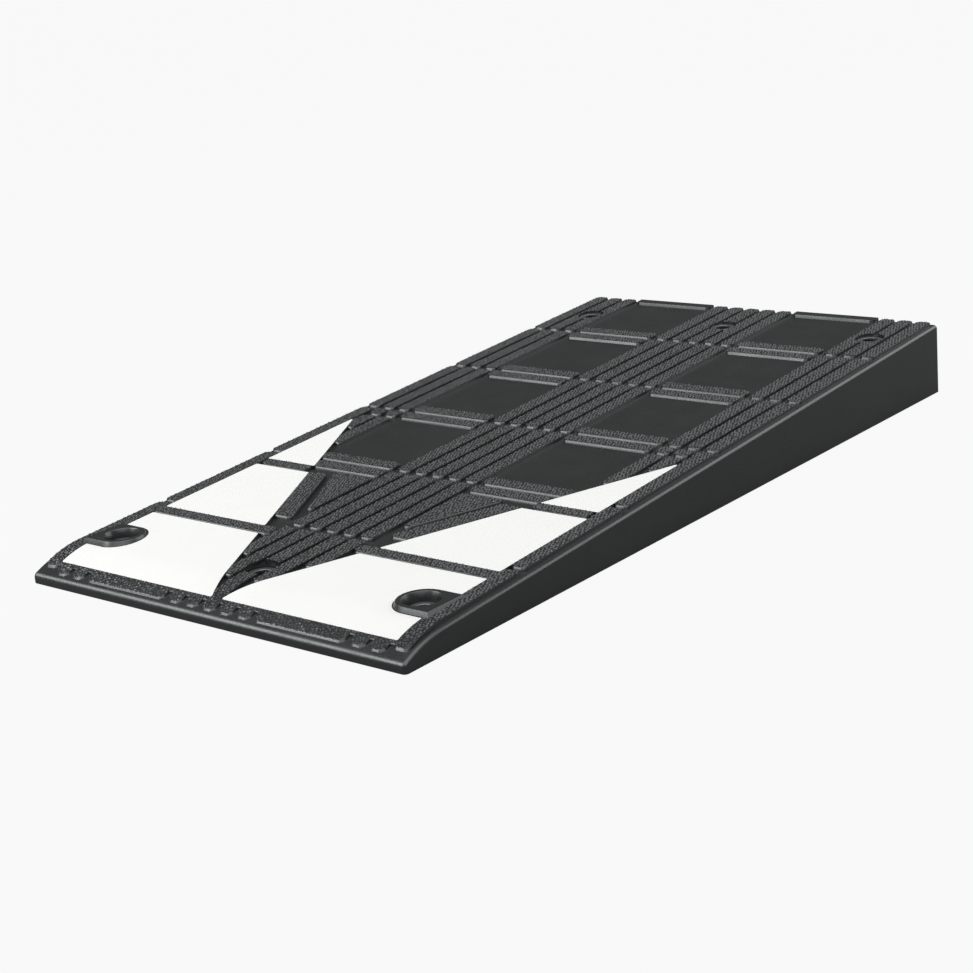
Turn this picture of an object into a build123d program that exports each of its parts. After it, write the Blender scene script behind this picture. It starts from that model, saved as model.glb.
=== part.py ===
from build123d import *
import math
import os

# Rubber kerb ramp, in millimetres. X runs across the ramp, Y along it from the low front lip (-Y) to the
# tall kerb face (+Y), and Z up from the road. The origin is at the middle of the underside.

# Overall sizes
length = 950.0
width = 500.0
rear_height = 85.0          # over the ribs at the kerb face

# Side profile: a straight slope that bends down over a rounded nose to the front lip
lip_height = 9.0
nose_length = 58.0
nose_drop = 16.1            # fall of the smooth surface over the nose
rib_height = 5.0            # ribs over the smooth surface where the slope meets the nose
rear_rib_height = 3.8       # ribs over the smooth surface at the kerb face
nose_rib_height = 1.8       # ribs over the smooth surface at the lip
edge_round = 4.0            # rounded top edges of the lip and both sides
corner_round = 5.0          # upright front corners

# Lengthwise ribs in a centre group and two side groups
rib_width = 17.0
rib_pitch = 23.1
centre_rib_count = 5
side_rib_count = 3
side_ledge = 7.0            # smooth ledge outside the outermost ribs
end_round = 5.0             # plan rounding of rib and cleat ends
point_round = 3.0           # plan rounding of the slanted rib ends and of the arrow pad
round_share = 0.48          # most of a bar's narrow side that one rounding may take

# Cross rows that break the ribs, measured from the front lip
first_row = 172.5
row_step = 158.7
row_gap = 6.4
last_segment = 60.0         # shortest rib that may stand behind the last row

# Cross cleats between the rib groups
cleat_side_gap = 7.0
rear_bar_depth = 13.0

# Pads of the nosing behind the front lip
lip_ledge = 5.0
pad_length = 14.0
pad_round = 6.5             # plan rounding of the front ends of the pads
rail_depth = 4.0            # rail that joins the rear ends of the pads
outer_rib_setback = 6.5     # front end of the outermost ribs behind the front ends of the pads

# White marking fields beside the black arrow
arrow_length = 433.0        # from the nosing to the point where the arrow meets the outermost ribs
arrow_tip_width = 10.0
arrow_border = 1.5          # smooth strip between the marking and the rib ends
bar_depth = 16.0            # bars that divide the marking
bar_1_setback = 13.7        # rear edge of the front bar ahead of the first row
bar_2_setback = 22.4        # rear edge of the rear bar ahead of the second row
bar_end_gap = 5.0           # rear bar to the outermost rib and to the arrow
marking_thickness = 5.0
marking_below_ribs = 1.2    # top of the marking below the tops of the ribs
marking_clearance = 0.8
marking_corner = 1.5

# Arrow blocks between the first and the second row
border_bar_width = 23.0
border_bar_setback = 12.0   # front end of the border bar behind the first row
arrow_pad_gap = 8.0         # groove between the border bar and the arrow pad
arrow_pad_setback = 14.8    # arrow pad behind the crossing of the groove and the inner cleat ends

# Fixing holes, three at each end, with washers on their seats
hole_side_inset = 48.0
front_hole_inset = 79.5
rear_hole_inset = 73.5
counterbore_radius = 16.0
front_well_depth = 10.0     # seats of the front washers below the tops of the ribs
rear_well_depth = 6.0       # seats of the rear washers below the tops of the ribs
bore_radius = 9.0
washer_thickness = 3.0
washer_clearance = 1.0
boss_radius = 23.5          # top of the raised boss of each front corner hole
boss_flare = 2.5            # how far the wall of a boss leans out from its top to its foot
boss_proud = 1.7            # boss over the marking at the rear edge of the boss
boss_overlap = 1.0          # how far the boss runs into the outermost rib

# Places that follow from the sizes above
half_length = length / 2
half_width = width / 2
ledge_rear = rear_height - rear_rib_height
nose_start = -half_length + nose_length
nose_height = lip_height + nose_drop
rib_grade = (rear_height - rib_height - nose_height) / (half_length - nose_start)
pad_front = -half_length + lip_ledge
nosing_rear = pad_front + pad_length
outer_rib = half_width - side_ledge - rib_width / 2
outer_rib_inside = outer_rib - rib_width / 2
centre_ribs = [(i - (centre_rib_count - 1) / 2) * rib_pitch for i in range(centre_rib_count)]
side_ribs = [outer_rib - i * rib_pitch for i in range(side_rib_count)]
cleat_inside = centre_ribs[-1] + rib_width / 2 + cleat_side_gap
cleat_outside = side_ribs[-1] - rib_width / 2 - cleat_side_gap
row_count = 1 + int((length - first_row - last_segment) // row_step)
rows = [-half_length + first_row + i * row_step for i in range(row_count)]
arrow_slope = (outer_rib_inside - arrow_tip_width / 2) / arrow_length
past_rear = half_length + 2 * end_round
past_top = rear_height + rib_height
core_height = lip_height / 2    # inside the wedge, below all of its top surface
bar_1 = (rows[0] - bar_1_setback - bar_depth, rows[0] - bar_1_setback)
bar_2 = (rows[1] - bar_2_setback - bar_depth, rows[1] - bar_2_setback)
hole_x = half_width - hole_side_inset
front_hole_y = -half_length + front_hole_inset
rear_hole_y = half_length - rear_hole_inset
field_places = ("front", "middle", "rear")


def rib_top(y):
    """Height of the tops of the ribs at a place on the straight slope."""
    return rear_height - rib_grade * (half_length - y)


boss_foot = rib_top(front_hole_y - boss_radius) - marking_below_ribs
boss_height = rib_top(front_hole_y + boss_radius) - marking_below_ribs + boss_proud


def arrow_x(y, inset=0.0):
    """Half width of the arrow at y, moved out square to its edge by the inset."""
    return arrow_tip_width / 2 + arrow_slope * (y - nosing_rear) + inset * math.hypot(1, arrow_slope)


def arrow_y(x, inset=0.0):
    """Place along the ramp where the edge of the arrow, moved out by the inset, is x from the middle."""
    return nosing_rear + (x - inset * math.hypot(1, arrow_slope) - arrow_tip_width / 2) / arrow_slope


def under_profile(rear, nose, lip):
    """Solid under a slope and the rounded nose, by the heights at the kerb face, at the nose and at the lip."""
    rear_top = (half_length, rear)
    nose_top = (nose_start, nose)
    lip_top = (-half_length, lip)
    slope = Line(rear_top, nose_top)
    nose_arc = TangentArc(nose_top, lip_top, tangent=slope % 1)
    ends = Polyline(lip_top, (-half_length, 0), (half_length, 0), rear_top)
    return extrude(Plane.YZ * make_face([slope, nose_arc, ends]), half_width, both=True)


def under_ribs(depth=0.0):
    """Solid that ends at a depth below the tops of the ribs."""
    return under_profile(rear_height - depth, nose_height + rib_height - depth, lip_height + nose_rib_height - depth)


def rounded(points, radius):
    """Plan shape with straight sides and rounded corners."""
    shape = Polygon(*points, align=None)
    return fillet(shape.vertices(), radius)


def block(x_low, x_high, y_low, y_high):
    """Plan shape of a straight bar with rounded ends."""
    radius = min(end_round, round_share * min(x_high - x_low, y_high - y_low))
    return rounded([(x_low, y_low), (x_high, y_low), (x_high, y_high), (x_low, y_high)], radius)


def both_sides(shapes):
    """The shapes and their mirror images on the other side of the ramp."""
    return shapes + [mirror(shape, Plane.YZ) for shape in shapes]


def pointed_rib(x, y_high):
    """Front stretch of a rib whose end is cut back along the edge of the arrow."""
    inside = x - rib_width / 2
    outside = x + rib_width / 2
    front = arrow_y(x, -arrow_border)
    corner = arrow_y(outside, -arrow_border)
    points = [(inside, front), (x, front), (outside, corner), (outside, y_high), (inside, y_high)]
    return rounded(points, point_round)


def rib_stretches(x, start):
    """Stretches of a rib from start to the kerb face, broken at each cross row."""
    breaks = [y for y in rows if y > start]
    fronts = [start] + breaks
    rears = [y - row_gap for y in breaks] + [past_rear]
    half = rib_width / 2
    return [block(x - half, x + half, front, rear) for front, rear in zip(fronts, rears)]


def centre_group():
    """Ribs along the middle, which form the point of the arrow; the middle one starts inside its pad."""
    front_rear = rows[0] - row_gap
    shapes = rib_stretches(0, nosing_rear - end_round)
    for x in centre_ribs:
        if x > 0:
            stretches = [pointed_rib(x, front_rear)] + rib_stretches(x, rows[0])
            shapes += both_sides(stretches)
    return shapes


def side_group():
    """Ribs along one side: the outermost from the nosing on, the others from the edge of the arrow on."""
    shapes = rib_stretches(outer_rib, pad_front + outer_rib_setback)
    for x in side_ribs[1:]:
        next_row = min(y for y in rows if y > arrow_y(x + rib_width / 2) + rib_pitch)
        stub_front = next_row - rib_pitch
        half = rib_width / 2
        shapes.append(pointed_rib(x, stub_front - row_gap))
        shapes.append(block(x - half, x + half, stub_front, next_row - row_gap))
        shapes += rib_stretches(x, next_row)
    return shapes


def cleat(y):
    """One cleat between the rib groups, cut along the edge of the arrow where it reaches that far."""
    rear = y + rib_width
    outside_front = min(cleat_outside, arrow_x(y, -arrow_border))
    outside_rear = min(cleat_outside, arrow_x(rear, -arrow_border))
    points = [(cleat_inside, y), (outside_front, y), (outside_rear, rear), (cleat_inside, rear)]
    return rounded(points, end_round)


def cleats():
    """Pairs of cleats at each row behind the first, and the bar at the kerb face."""
    shapes = [block(cleat_inside, cleat_outside, half_length - rear_bar_depth, past_rear)]
    for y in rows[1:]:
        shapes += [cleat(y), cleat(y - rib_pitch)]
    return shapes


def nosing_pad(x_low, x_high):
    """Plan shape of a pad with a rounded front end, square where it meets the rail."""
    radius = min(pad_round, round_share * (x_high - x_low))
    corners = [(x_low, pad_front), (x_high, pad_front), (x_high, nosing_rear), (x_low, nosing_rear)]
    shape = Polygon(*corners, align=None)
    return fillet(shape.vertices().group_by(Axis.Y)[0], radius)


def nosing():
    """Pads behind the front lip, joined at the back by a rail."""
    half = rib_width / 2
    spans = [(x - half, x + half) for x in centre_ribs if x > 0]
    spans += [(x - half, x + half) for x in side_ribs[1:]]
    spans.append((cleat_inside, cleat_outside))
    pads = [nosing_pad(low, high) for low, high in spans]
    rail_middle = nosing_rear - rail_depth / 2
    rail = Pos(0, rail_middle) * Rectangle(2 * outer_rib, rail_depth)
    return both_sides(pads) + [nosing_pad(-half, half), rail]


def marking_bars():
    """Bars that divide the white marking: the front one runs from the ribs to the outermost rib."""
    front = block(cleat_inside - cleat_side_gap / 2, outer_rib, *bar_1)
    inside = arrow_x(bar_2[1]) + bar_end_gap / 2
    rear = block(inside, outer_rib_inside - bar_end_gap, *bar_2)
    return [front, rear]


def arrow_blocks():
    """Border bar along the edge of the arrow and the three-cornered pad inside it."""
    front = rows[0] + border_bar_setback
    rear = bar_2[0]
    inner = -(arrow_border + border_bar_width) / math.hypot(1, arrow_slope)
    border = rounded(
        [
            (arrow_x(front, inner), front),
            (arrow_x(front, -arrow_border), front),
            (arrow_x(rear, -arrow_border), rear),
            (arrow_x(rear, inner), rear),
        ],
        end_round,
    )
    pad_edge = inner - arrow_pad_gap
    pad_front_y = arrow_y(cleat_inside, pad_edge) + arrow_pad_setback
    pad_rear_y = rows[1] - rib_pitch - row_gap
    pad = rounded(
        [
            (cleat_inside, pad_front_y),
            (arrow_x(pad_front_y, pad_edge), pad_front_y),
            (arrow_x(pad_rear_y, pad_edge), pad_rear_y),
            (cleat_inside, pad_rear_y),
        ],
        point_round,
    )
    return [border, pad]


def boss_shape(margin=0.0):
    """Plan of the top of a front corner boss, round towards the middle and straight into the outermost rib."""
    radius = boss_radius + margin
    disc = Pos(hole_x, front_hole_y) * Circle(radius)
    neck_end = outer_rib_inside + boss_overlap
    neck = Pos((hole_x + neck_end) / 2, front_hole_y) * Rectangle(neck_end - hole_x, 2 * radius)
    return disc + neck


def boss():
    """A foot level with the marking and, on it, the level top of the boss with its leaning wall."""
    foot = prism([boss_shape(boss_flare)], core_height, past_top) & under_ribs(marking_below_ribs)
    rise = boss_height - boss_foot
    cone = Cone(boss_radius + boss_flare, boss_radius, rise, align=(Align.CENTER, Align.CENTER, Align.MIN))
    wide = boss_radius + boss_flare
    section = Polygon((-wide, 0), (wide, 0), (boss_radius, rise), (-boss_radius, rise), align=None)
    neck = extrude(Plane.YZ * section, outer_rib_inside + boss_overlap - hole_x)
    return foot + Pos(hole_x, front_hole_y, boss_foot) * (cone + neck)


def marking_field(place, inset, corner):
    """Plan of one marking field on the +X side, drawn in from its walls by the inset."""
    front, rear = {
        "front": (nosing_rear, bar_1[0]),
        "middle": (bar_1[1], bar_2[0]),
        "rear": (bar_2[1], arrow_y(outer_rib_inside)),
    }[place]
    outside = outer_rib_inside - inset
    front += inset
    points = [(arrow_x(front, inset), front), (outside, front)]
    if place == "rear":
        points.append((outside, arrow_y(outside, inset)))
    else:
        rear -= inset
        points += [(outside, rear), (arrow_x(rear, inset), rear)]
    shape = rounded(points, corner) if corner else Polygon(*points, align=None)
    if place == "front":
        shape -= boss_shape(boss_flare + inset)
    return shape


def under_marking():
    """Solid under the seats of the marking sheets."""
    return under_ribs(marking_below_ribs + marking_thickness)


def prism(shapes, bottom, top):
    """Upright solid on plan shapes."""
    return extrude(Pos(0, 0, bottom) * (Sketch() + shapes), top - bottom)


def fixing_holes():
    """Name of each fixing hole and the place of its washer seat."""
    places = {}
    ends = (("front", front_hole_y, front_well_depth), ("rear", rear_hole_y, rear_well_depth))
    for end, y, depth in ends:
        for side, x in (("left", -hole_x), ("centre", 0), ("right", hole_x)):
            places[f"{end}_{side}"] = (x, y, rib_top(y) - depth)
    return places


def ramp_body():
    """The moulded rubber wedge with its tread, marking seats, bosses and fixing holes."""
    base = under_profile(ledge_rear, nose_height, lip_height)
    upright = base.edges().filter_by(Axis.Z).group_by(Axis.Y)[0]
    base = fillet(upright, corner_round)
    sloping = [edge for edge in base.edges().filter_by(Axis.Z, reverse=True) if edge.center().Z > core_height]
    base = fillet([edge for edge in sloping if edge.center().Y < half_length - edge_round], edge_round)
    plan = centre_group() + nosing() + both_sides(side_group() + cleats() + marking_bars() + arrow_blocks())
    ribs = prism(plan, core_height, past_top) & under_ribs()
    body = base + ribs + both_sides([boss()])
    fields = both_sides([marking_field(place, 0, 0) for place in field_places])
    body -= prism(fields, core_height, past_top) - under_marking()
    for x, y, seat in fixing_holes().values():
        body -= Pos(x, y) * Cylinder(bore_radius, rear_height, align=(Align.CENTER, Align.CENTER, Align.MIN))
        well = Cylinder(counterbore_radius, rear_height, align=(Align.CENTER, Align.CENTER, Align.MIN))
        body -= Pos(x, y, seat) * well
    return body


def marking(place):
    """White marking sheet of one field on the +X side, bonded to its seat."""
    field = marking_field(place, marking_clearance, marking_corner)
    sheet = prism([field], core_height, past_top) & under_ribs(marking_below_ribs)
    return sheet - under_marking()


def washer():
    """Flat steel washer on the seat of a fixing hole."""
    disc = Circle(counterbore_radius - washer_clearance) - Circle(bore_radius)
    return extrude(disc, washer_thickness)


def main():
    os.makedirs("parts", exist_ok=True)
    export_step(ramp_body(), "parts/ramp_body.step")
    for place in field_places:
        sheet = marking(place)
        export_step(sheet, f"parts/marking_{place}_right.step")
        export_step(mirror(sheet, Plane.YZ), f"parts/marking_{place}_left.step")
    for name, place in fixing_holes().items():
        export_step(Pos(*place) * washer(), f"parts/washer_{name}.step")


main()
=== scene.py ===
import math

import bmesh
import bpy
from bpy.props import FloatProperty, FloatVectorProperty, IntProperty, PointerProperty
from mathutils import Matrix, Vector


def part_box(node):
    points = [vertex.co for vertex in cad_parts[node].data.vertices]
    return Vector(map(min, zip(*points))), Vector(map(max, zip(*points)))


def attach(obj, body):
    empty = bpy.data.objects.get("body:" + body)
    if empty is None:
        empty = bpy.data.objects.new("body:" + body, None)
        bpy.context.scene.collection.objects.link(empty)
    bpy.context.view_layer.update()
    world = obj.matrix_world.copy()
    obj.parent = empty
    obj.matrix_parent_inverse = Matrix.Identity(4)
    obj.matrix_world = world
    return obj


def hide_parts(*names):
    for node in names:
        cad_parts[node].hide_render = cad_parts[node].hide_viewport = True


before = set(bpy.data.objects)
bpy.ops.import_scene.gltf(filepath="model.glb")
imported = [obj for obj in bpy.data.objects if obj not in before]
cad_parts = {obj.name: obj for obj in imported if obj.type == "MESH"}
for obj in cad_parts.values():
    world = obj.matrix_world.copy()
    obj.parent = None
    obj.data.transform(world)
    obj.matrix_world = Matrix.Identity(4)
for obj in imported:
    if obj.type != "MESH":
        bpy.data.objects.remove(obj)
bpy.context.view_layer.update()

# A low wedge of black rubber with a knurled, ribbed tread, white marking inlays beside a black arrow, and
# stepped fixing holes with washers. X runs across the ramp, Y from the low front lip to the tall kerb face
# and Z up from the road, in metres.

bl_info = {
    "name": "Rubber kerb ramp",
    "version": (1, 0, 0),
    "blender": (4, 5, 0),
    "location": "3D View > Sidebar > Kerb ramp",
    "description": "Models a ribbed rubber kerb ramp with white marking inlays in its construction frame",
    "category": "Mesh",
}

# The construction model's box before anything is added, and the places that the frame gives
BODY_LOW, BODY_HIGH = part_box("ramp_body")
BODY_SIZE = BODY_HIGH - BODY_LOW
FIELD_PLACES = ("front", "middle", "rear")
HOLE_NAMES = [f"{end}_{side}" for end in ("front", "rear") for side in ("left", "centre", "right")]
WASHER_BOXES = {name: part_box(f"washer_{name}") for name in HOLE_NAMES}

MM = 0.001
GROUND = -1.0            # flat height that stands for the road while a mesh is still drawn flat
SKIN = 0.05 * MM         # least clearance between two faces that would otherwise lie in one plane
CUTTER_TOP = 20 * MM     # flat height to which the cutters of the marking fields reach
END_SHARE = 0.48         # most rounding of the end of a block, as a share of its width
CORNER_SHARE = 1.6       # an edge turned from the front by up to acos(1 / 1.6) counts as a front edge
SHARP_ANGLE = 42.0       # degrees past which an edge of the rubber or of a marking stays sharp
WASHER_ANGLE = 30.0      # degrees past which an edge of a washer stays sharp
FULL_STUD = 0.95         # height of an unworn stud, as a share of the most height
SHIFT_SEED = 2           # seeds of the random shift, lean and wear of the studs
LEAN_SEED = 3
WEAR_SEED = 5
RAY_START = 1.0          # height from which the studs look down for the blocks that carry them
FLOOR_REACH = 40.0       # half the side of the floor


def distance(name, millimetres, description):
    """A length that a user may change, with its default given in millimetres."""
    return FloatProperty(
        name=name,
        description=description,
        default=millimetres * MM,
        unit="LENGTH",
        subtype="DISTANCE",
        precision=5,
    )


def angle(name, degrees, description):
    """An angle that a user may change, with its default given in degrees."""
    return FloatProperty(
        name=name, description=description, default=math.radians(degrees), unit="ROTATION", subtype="ANGLE"
    )


def colour(name, default, description):
    """A linear colour that a user may change."""
    return FloatVectorProperty(
        name=name, description=description, default=default, size=3, min=0.0, max=1.0, subtype="COLOR"
    )


def factor(name, default, description):
    """A share between nothing and one."""
    return FloatProperty(
        name=name, description=description, default=default, min=0.0, max=1.0, subtype="FACTOR"
    )


def light_strength(name, default, description):
    """The strength of the light from one part of the sky."""
    return FloatProperty(name=name, description=description, default=default, min=0.0)


class ProfileSizes(bpy.types.PropertyGroup):
    """Overall sizes and the side profile of the wedge."""

    length: distance("Length", BODY_SIZE.y / MM, "Length along the ramp")
    width: distance("Width", BODY_SIZE.x / MM, "Width across the ramp")
    rear_height: distance("Rear height", BODY_SIZE.z / MM, "Height over the ribs at the kerb face")
    lip_height: distance("Lip height", 9.0, "Height of the smooth surface at the front lip")
    nose_length: distance("Nose length", 58.0, "Length of the rounded nose")
    nose_drop: distance("Nose drop", 16.1, "Fall of the smooth surface over the nose")
    nose_step: distance("Nose step", 4.0, "Length of one facet of the rounded nose")
    edge_round: distance("Edge rounding", 4.0, "Rounding of the top edges of the lip and both sides")
    corner_round: distance("Corner rounding", 4.4, "Rounding of the upright front corners")
    foot_round: distance("Foot rounding", 0.3, "Small chamfer around the underside")


class TreadSizes(bpy.types.PropertyGroup):
    """Ribs, cleats and pads that stand on the smooth surface."""

    rib_height: distance("Rib height", 5.0, "Ribs with studs over the surface behind the nose")
    nose_rib_height: distance("Lip rib height", 1.8, "Ribs with studs over the surface at the lip")
    rear_rib_height: distance("Rear rib height", 3.8, "Ribs with studs over the surface at the kerb face")
    rib_width: distance("Rib width", 17.0, "Width of a rib at its foot")
    rib_pitch: distance("Rib pitch", 23.1, "Distance from one rib to the next")
    centre_rib_count: IntProperty(name="Centre ribs", description="Ribs along the middle", default=5, min=1)
    side_rib_count: IntProperty(name="Side ribs", description="Ribs along each side", default=3, min=2)
    side_ledge: distance("Side ledge", 7.0, "Smooth ledge outside the outermost ribs")
    end_round: distance("End rounding", 5.0, "Plan rounding of the ends of ribs and cleats")
    end_gap: distance("End gap", 1.2, "Distance of the plan of the last ribs from the kerb face")
    point_round: distance("Point rounding", 3.0, "Plan rounding of the slanted rib ends and of the arrow pad")
    first_row: distance("First row", 172.5, "First cross row behind the front lip")
    row_step: distance("Row step", 158.7, "Distance from one cross row to the next")
    row_gap: distance("Row gap", 6.4, "Break in the ribs at a cross row")
    last_segment: distance("Last segment", 60.0, "Shortest rib that may stand behind the last row")
    cleat_side_gap: distance("Cleat gap", 7.0, "Groove between the cleats and the ribs beside them")
    rear_bar_depth: distance("Rear bar depth", 13.0, "Depth of the smooth bars at the kerb face")
    lip_ledge: distance("Lip ledge", 5.0, "Smooth ledge ahead of the nosing pads")
    pad_length: distance("Pad length", 14.0, "Length of the nosing pads")
    pad_round: distance("Pad rounding", 6.5, "Plan rounding of the front ends of the nosing pads")
    rail_depth: distance("Rail depth", 4.0, "Depth of the rail that joins the nosing pads")
    outer_rib_setback: distance("Outer rib setback", 6.5, "Front of the outermost ribs behind the pad fronts")
    foot_depth: distance("Foot depth", 0.3, "Root of a block below the smooth surface")
    front_flare: distance("Front flare", 0.2, "How far the root of a front wall stands out")
    front_draft: distance("Front draft", 0.5, "Lean of a block's front wall up to its shoulder")
    front_rise: distance("Front bevel height", 1.6, "Height of the bevel on the upper front edge of a block")
    front_run: distance("Front bevel depth", 1.45, "How far the front bevel runs back at the nose")
    rear_run: distance("Rear bevel depth", 0.65, "How far the front bevel runs back at the kerb face")
    front_ease: distance("Front bevel rounding", 0.3, "Rounding above the front bevel")
    side_flare: distance("Side flare", 0.9, "How far the root of a side wall stands out")
    side_shoulder: distance("Side shoulder", 0.8, "How far the upper part of a side wall stands out")
    side_round: distance("Side rounding", 0.25, "Width of the rounding of the upper side edges of a block")
    rail_share: factor("Rail share", 0.5, "Lean and rounding of the rail as a share of those of the blocks")


class MarkingSizes(bpy.types.PropertyGroup):
    """White marking fields and the arrow between them."""

    arrow_length: distance("Arrow length", 433.0, "From the nosing to where the arrow meets the outer ribs")
    arrow_tip_width: distance("Arrow tip width", 10.0, "Width of the arrow at the nosing")
    arrow_reach: distance("Arrow reach", 1.0, "How far rib ends run over a field, which cuts them off")
    border_bar_width: distance("Border bar width", 25.5, "Width of the bar along the edge of the arrow")
    border_bar_setback: distance("Border bar setback", 12.0, "Front of the border bar behind the first row")
    arrow_pad_gap: distance("Arrow pad gap", 8.0, "Groove between the border bar and the arrow pad")
    arrow_pad_setback: distance("Arrow pad setback", 14.8, "Arrow pad behind the end of its groove")
    bar_depth: distance("Bar depth", 16.0, "Depth of the bars that divide the marking")
    bar_1_setback: distance("Front bar setback", 13.7, "Rear edge of the front bar ahead of the first row")
    bar_2_setback: distance("Rear bar setback", 22.4, "Rear edge of the rear bar ahead of the second row")
    bar_end_gap: distance("Bar end gap", 5.0, "Rear bar to the outermost rib and to the arrow")
    thickness: distance("Sheet thickness", 5.0, "Thickness of a marking sheet")
    below_ribs: distance("Below the ribs", 1.2, "Top of the marking below the tops of the ribs")
    clearance: distance("Clearance", 0.8, "Rubber rim around a marking sheet")
    slit: distance("Slit", 0.1, "Open slit between a sheet and its rubber rim")
    rim_drop: distance("Rim drop", 0.1, "Top of the rubber rim below the top of the sheet")
    corner: distance("Sheet corner", 1.5, "Plan rounding of the corners of a sheet")
    edge_round: distance("Sheet edge rounding", 0.35, "Rounding of the upper edges of a sheet")


class FixingSizes(bpy.types.PropertyGroup):
    """Fixing holes, the bosses round the front corner holes, and the washers."""

    counterbore_radius: distance("Counterbore radius", 16.0, "Radius of the wide upper part of a hole")
    bore_radius: distance("Bore radius", 9.0, "Radius of the narrow lower part of a hole")
    rim_round: distance("Rim rounding", 0.6, "Bevel round the mouth of a hole in a boss")
    mouth_width: distance("Mouth width", 2.5, "How far a hole in a boss opens out towards its mouth")
    mouth_depth: distance("Mouth depth", 6.0, "Depth at which a hole in a boss starts to open out")
    boss_radius: distance("Boss radius", 23.5, "Radius of the raised boss of a front corner hole")
    boss_flare: distance("Boss flare", 2.5, "How far the foot of a boss stands out")
    boss_edge_round: distance("Boss edge rounding", 0.8, "Rounding of the upper edge of a boss")
    boss_proud: distance("Boss height", 1.7, "Boss over the marking at the rear edge of the boss")
    boss_overlap: distance("Boss overlap", 3.0, "How far the boss runs into the outermost rib")
    washer_chamfer: distance("Washer chamfer", 0.6, "Bevel of the edges of a washer")
    facets: IntProperty(name="Facets", description="Sides of a round hole or washer", default=64, min=12)


class StudSizes(bpy.types.PropertyGroup):
    """Small pyramids of the knurled tread."""

    pitch: distance("Stud pitch", 3.3, "Distance from one row of studs to the next")
    width: distance("Stud width", 2.8, "Width of a stud at its foot")
    top_width: distance("Stud top width", 0.6, "Width of a stud at its top")
    height: distance("Stud height", 1.0, "Most height of a stud over the top of its rib")
    wear: factor("Wear", 0.45, "Share of the height that the most worn studs have lost")
    lean: FloatProperty(name="Lean", description="Most sideways lean of a stud as a slope", default=0.15)
    turn: angle("Turn", 26.5, "Angle between the rows of studs and the front lip")
    scatter: distance("Scatter", 0.8, "Most shift of a stud from its place in the rows")
    sink: distance("Stud root", 0.25, "Root of a stud inside its rib")
    front_margin: distance("Front margin", 1.65, "Studs cut off inside the front foot of a block")
    side_reach: distance("Side reach", 0.45, "How far studs reach out over the side feet of a block")
    hole_margin: distance("Hole margin", 0.6, "Studs cut off round a hole and ahead of the kerb face")


class Finishes(bpy.types.PropertyGroup):
    """Colours and gloss of the rubber, the marking and the washers."""

    rubber: colour("Rubber", (0.013, 0.0131, 0.0133), "Colour of the black rubber")
    rubber_bloom: colour("Rubber bloom", (0.019, 0.0191, 0.0194), "Colour of the rubber under a faint bloom")
    rubber_sheen: colour("Rubber sheen", (0.93, 0.98, 1.0), "Tint of the sheen of the black rubber")
    rubber_roughness: factor("Rubber roughness", 0.26, "Roughness of the black rubber")
    rubber_gloss: factor("Rubber gloss", 1.0, "Strength of the sheen of the black rubber")
    marking: colour("Marking", (0.8, 0.8, 0.79), "Colour of the white marking")
    marking_grey: colour("Marking shade", (0.76, 0.76, 0.75), "Colour of the marking where it is dull")
    marking_roughness: factor("Marking roughness", 0.62, "Roughness of the white marking")
    marking_gloss: factor("Marking gloss", 0.3, "Strength of the sheen of the white marking")
    steel: colour("Steel", (0.2, 0.2, 0.21), "Colour of the zinc-plated washers")
    steel_dull: colour("Dull steel", (0.14, 0.14, 0.145), "Colour of the washers where the zinc is dull")
    steel_roughness: factor("Steel roughness", 0.5, "Roughness of the washers")


class StageSettings(bpy.types.PropertyGroup):
    """Camera, lamps and floor."""

    azimuth: angle("Azimuth", 41.1993, "Camera direction from the front towards +X")
    elevation: angle("Elevation", 17.2480, "Camera direction above the road")
    roll: angle("Roll", -5.4026, "Turn of the camera about its own axis")
    camera_distance: distance("Camera distance", 2112.52, "Camera to the plane through the origin")
    camera_left: distance("Camera left", 42.457, "Camera to the left of the origin")
    camera_down: distance("Camera down", 8.0815, "Camera below the origin")
    lens: FloatProperty(name="Lens", description="Focal length of the camera", default=71.649, unit="CAMERA")
    floor: colour("Floor", (0.18, 0.18, 0.18), "Colour of the floor")
    floor_glow: factor("Floor whiteness", 0.93, "Share of plain white in the floor that the camera sees")
    dome: light_strength("Dome light", 2.0, "Strength of the light from above")
    horizon: light_strength("Horizon light", 0.11, "Strength of the light from the sides")
    dome_rise: angle("Dome rise", 72.0, "Middle of the dome above the horizon, on the camera's side")
    dome_core: angle("Dome core", 30.0, "Distance from the middle of the dome up to which it is fully bright")
    dome_edge: angle("Dome edge", 52.0, "Distance from the middle of the dome at which its light ends")


class KerbRampSettings(bpy.types.PropertyGroup):
    """All sizes and finishes of the ramp, and its stage."""

    profile: PointerProperty(type=ProfileSizes)
    tread: PointerProperty(type=TreadSizes)
    marking: PointerProperty(type=MarkingSizes)
    fixing: PointerProperty(type=FixingSizes)
    studs: PointerProperty(type=StudSizes)
    finishes: PointerProperty(type=Finishes)
    stage: PointerProperty(type=StageSettings)


# Places, outlines and closed meshes

def hole_centre(name):
    """Plan place of a fixing hole."""
    low, high = WASHER_BOXES[name]
    return ((low + high) / 2).xy


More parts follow.
